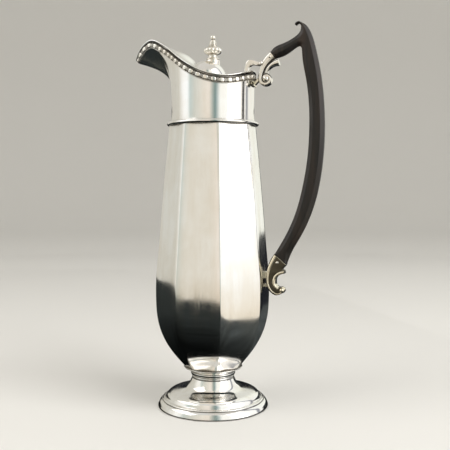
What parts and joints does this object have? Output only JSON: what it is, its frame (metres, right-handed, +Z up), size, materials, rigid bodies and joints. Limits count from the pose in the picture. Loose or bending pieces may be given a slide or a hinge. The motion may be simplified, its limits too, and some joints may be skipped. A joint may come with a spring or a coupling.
{
  "type": "covered silver water jug",
  "caption": "Tall octagonal silver water jug on a round foot, with an S-shaped beaded rim, a hinged domed lid with finial and an ebony handle between cast scroll sockets.",
  "frame": {"origin": "centre of the foot's base, on the jug's axis, on the plane that it stands on", "axes": "+Z up along the jug's axis; +X towards the handle, so the spout points to -X; +Y to the jug's side"},
  "size_m": [0.1651, 0.0952, 0.3254],
  "materials": {
    "silver": "hand-polished silver with fine wear scratches and light tarnish in the recesses",
    "ebony": "waxed carved ebony with a soft sheen"
  },
  "bodies": {
    "jug": {"foot_rim_wire": "silver", "foot": "silver", "stem_ring_lower": "silver", "stem_ring_upper": "silver", "body_cup": "silver", "body": "silver", "body_floor": "silver", "girdle_wire": "silver", "neck": "silver", "rim_border": "silver", "neck_bracket": "silver", "upper_socket": "silver", "upper_socket_rivet": "silver", "lower_socket": "silver", "lower_socket_rivet": "silver", "lower_pads": "silver", "hinge_pin": "silver", "handle": "ebony"},
    "lid": {"lid": "silver", "lid_bezel": "silver", "hinge_arm": "silver", "finial": "silver", "finial_washer": "silver", "finial_nut": "silver"}
  },
  "joints": [
    {"name": "lid_hinge", "type": "hinge", "parent": "jug", "child": "lid", "pos_m": [0.0427, 0, 0.2917], "axis": [0, 1, 0], "range_deg": [0, 80]}
  ]
}
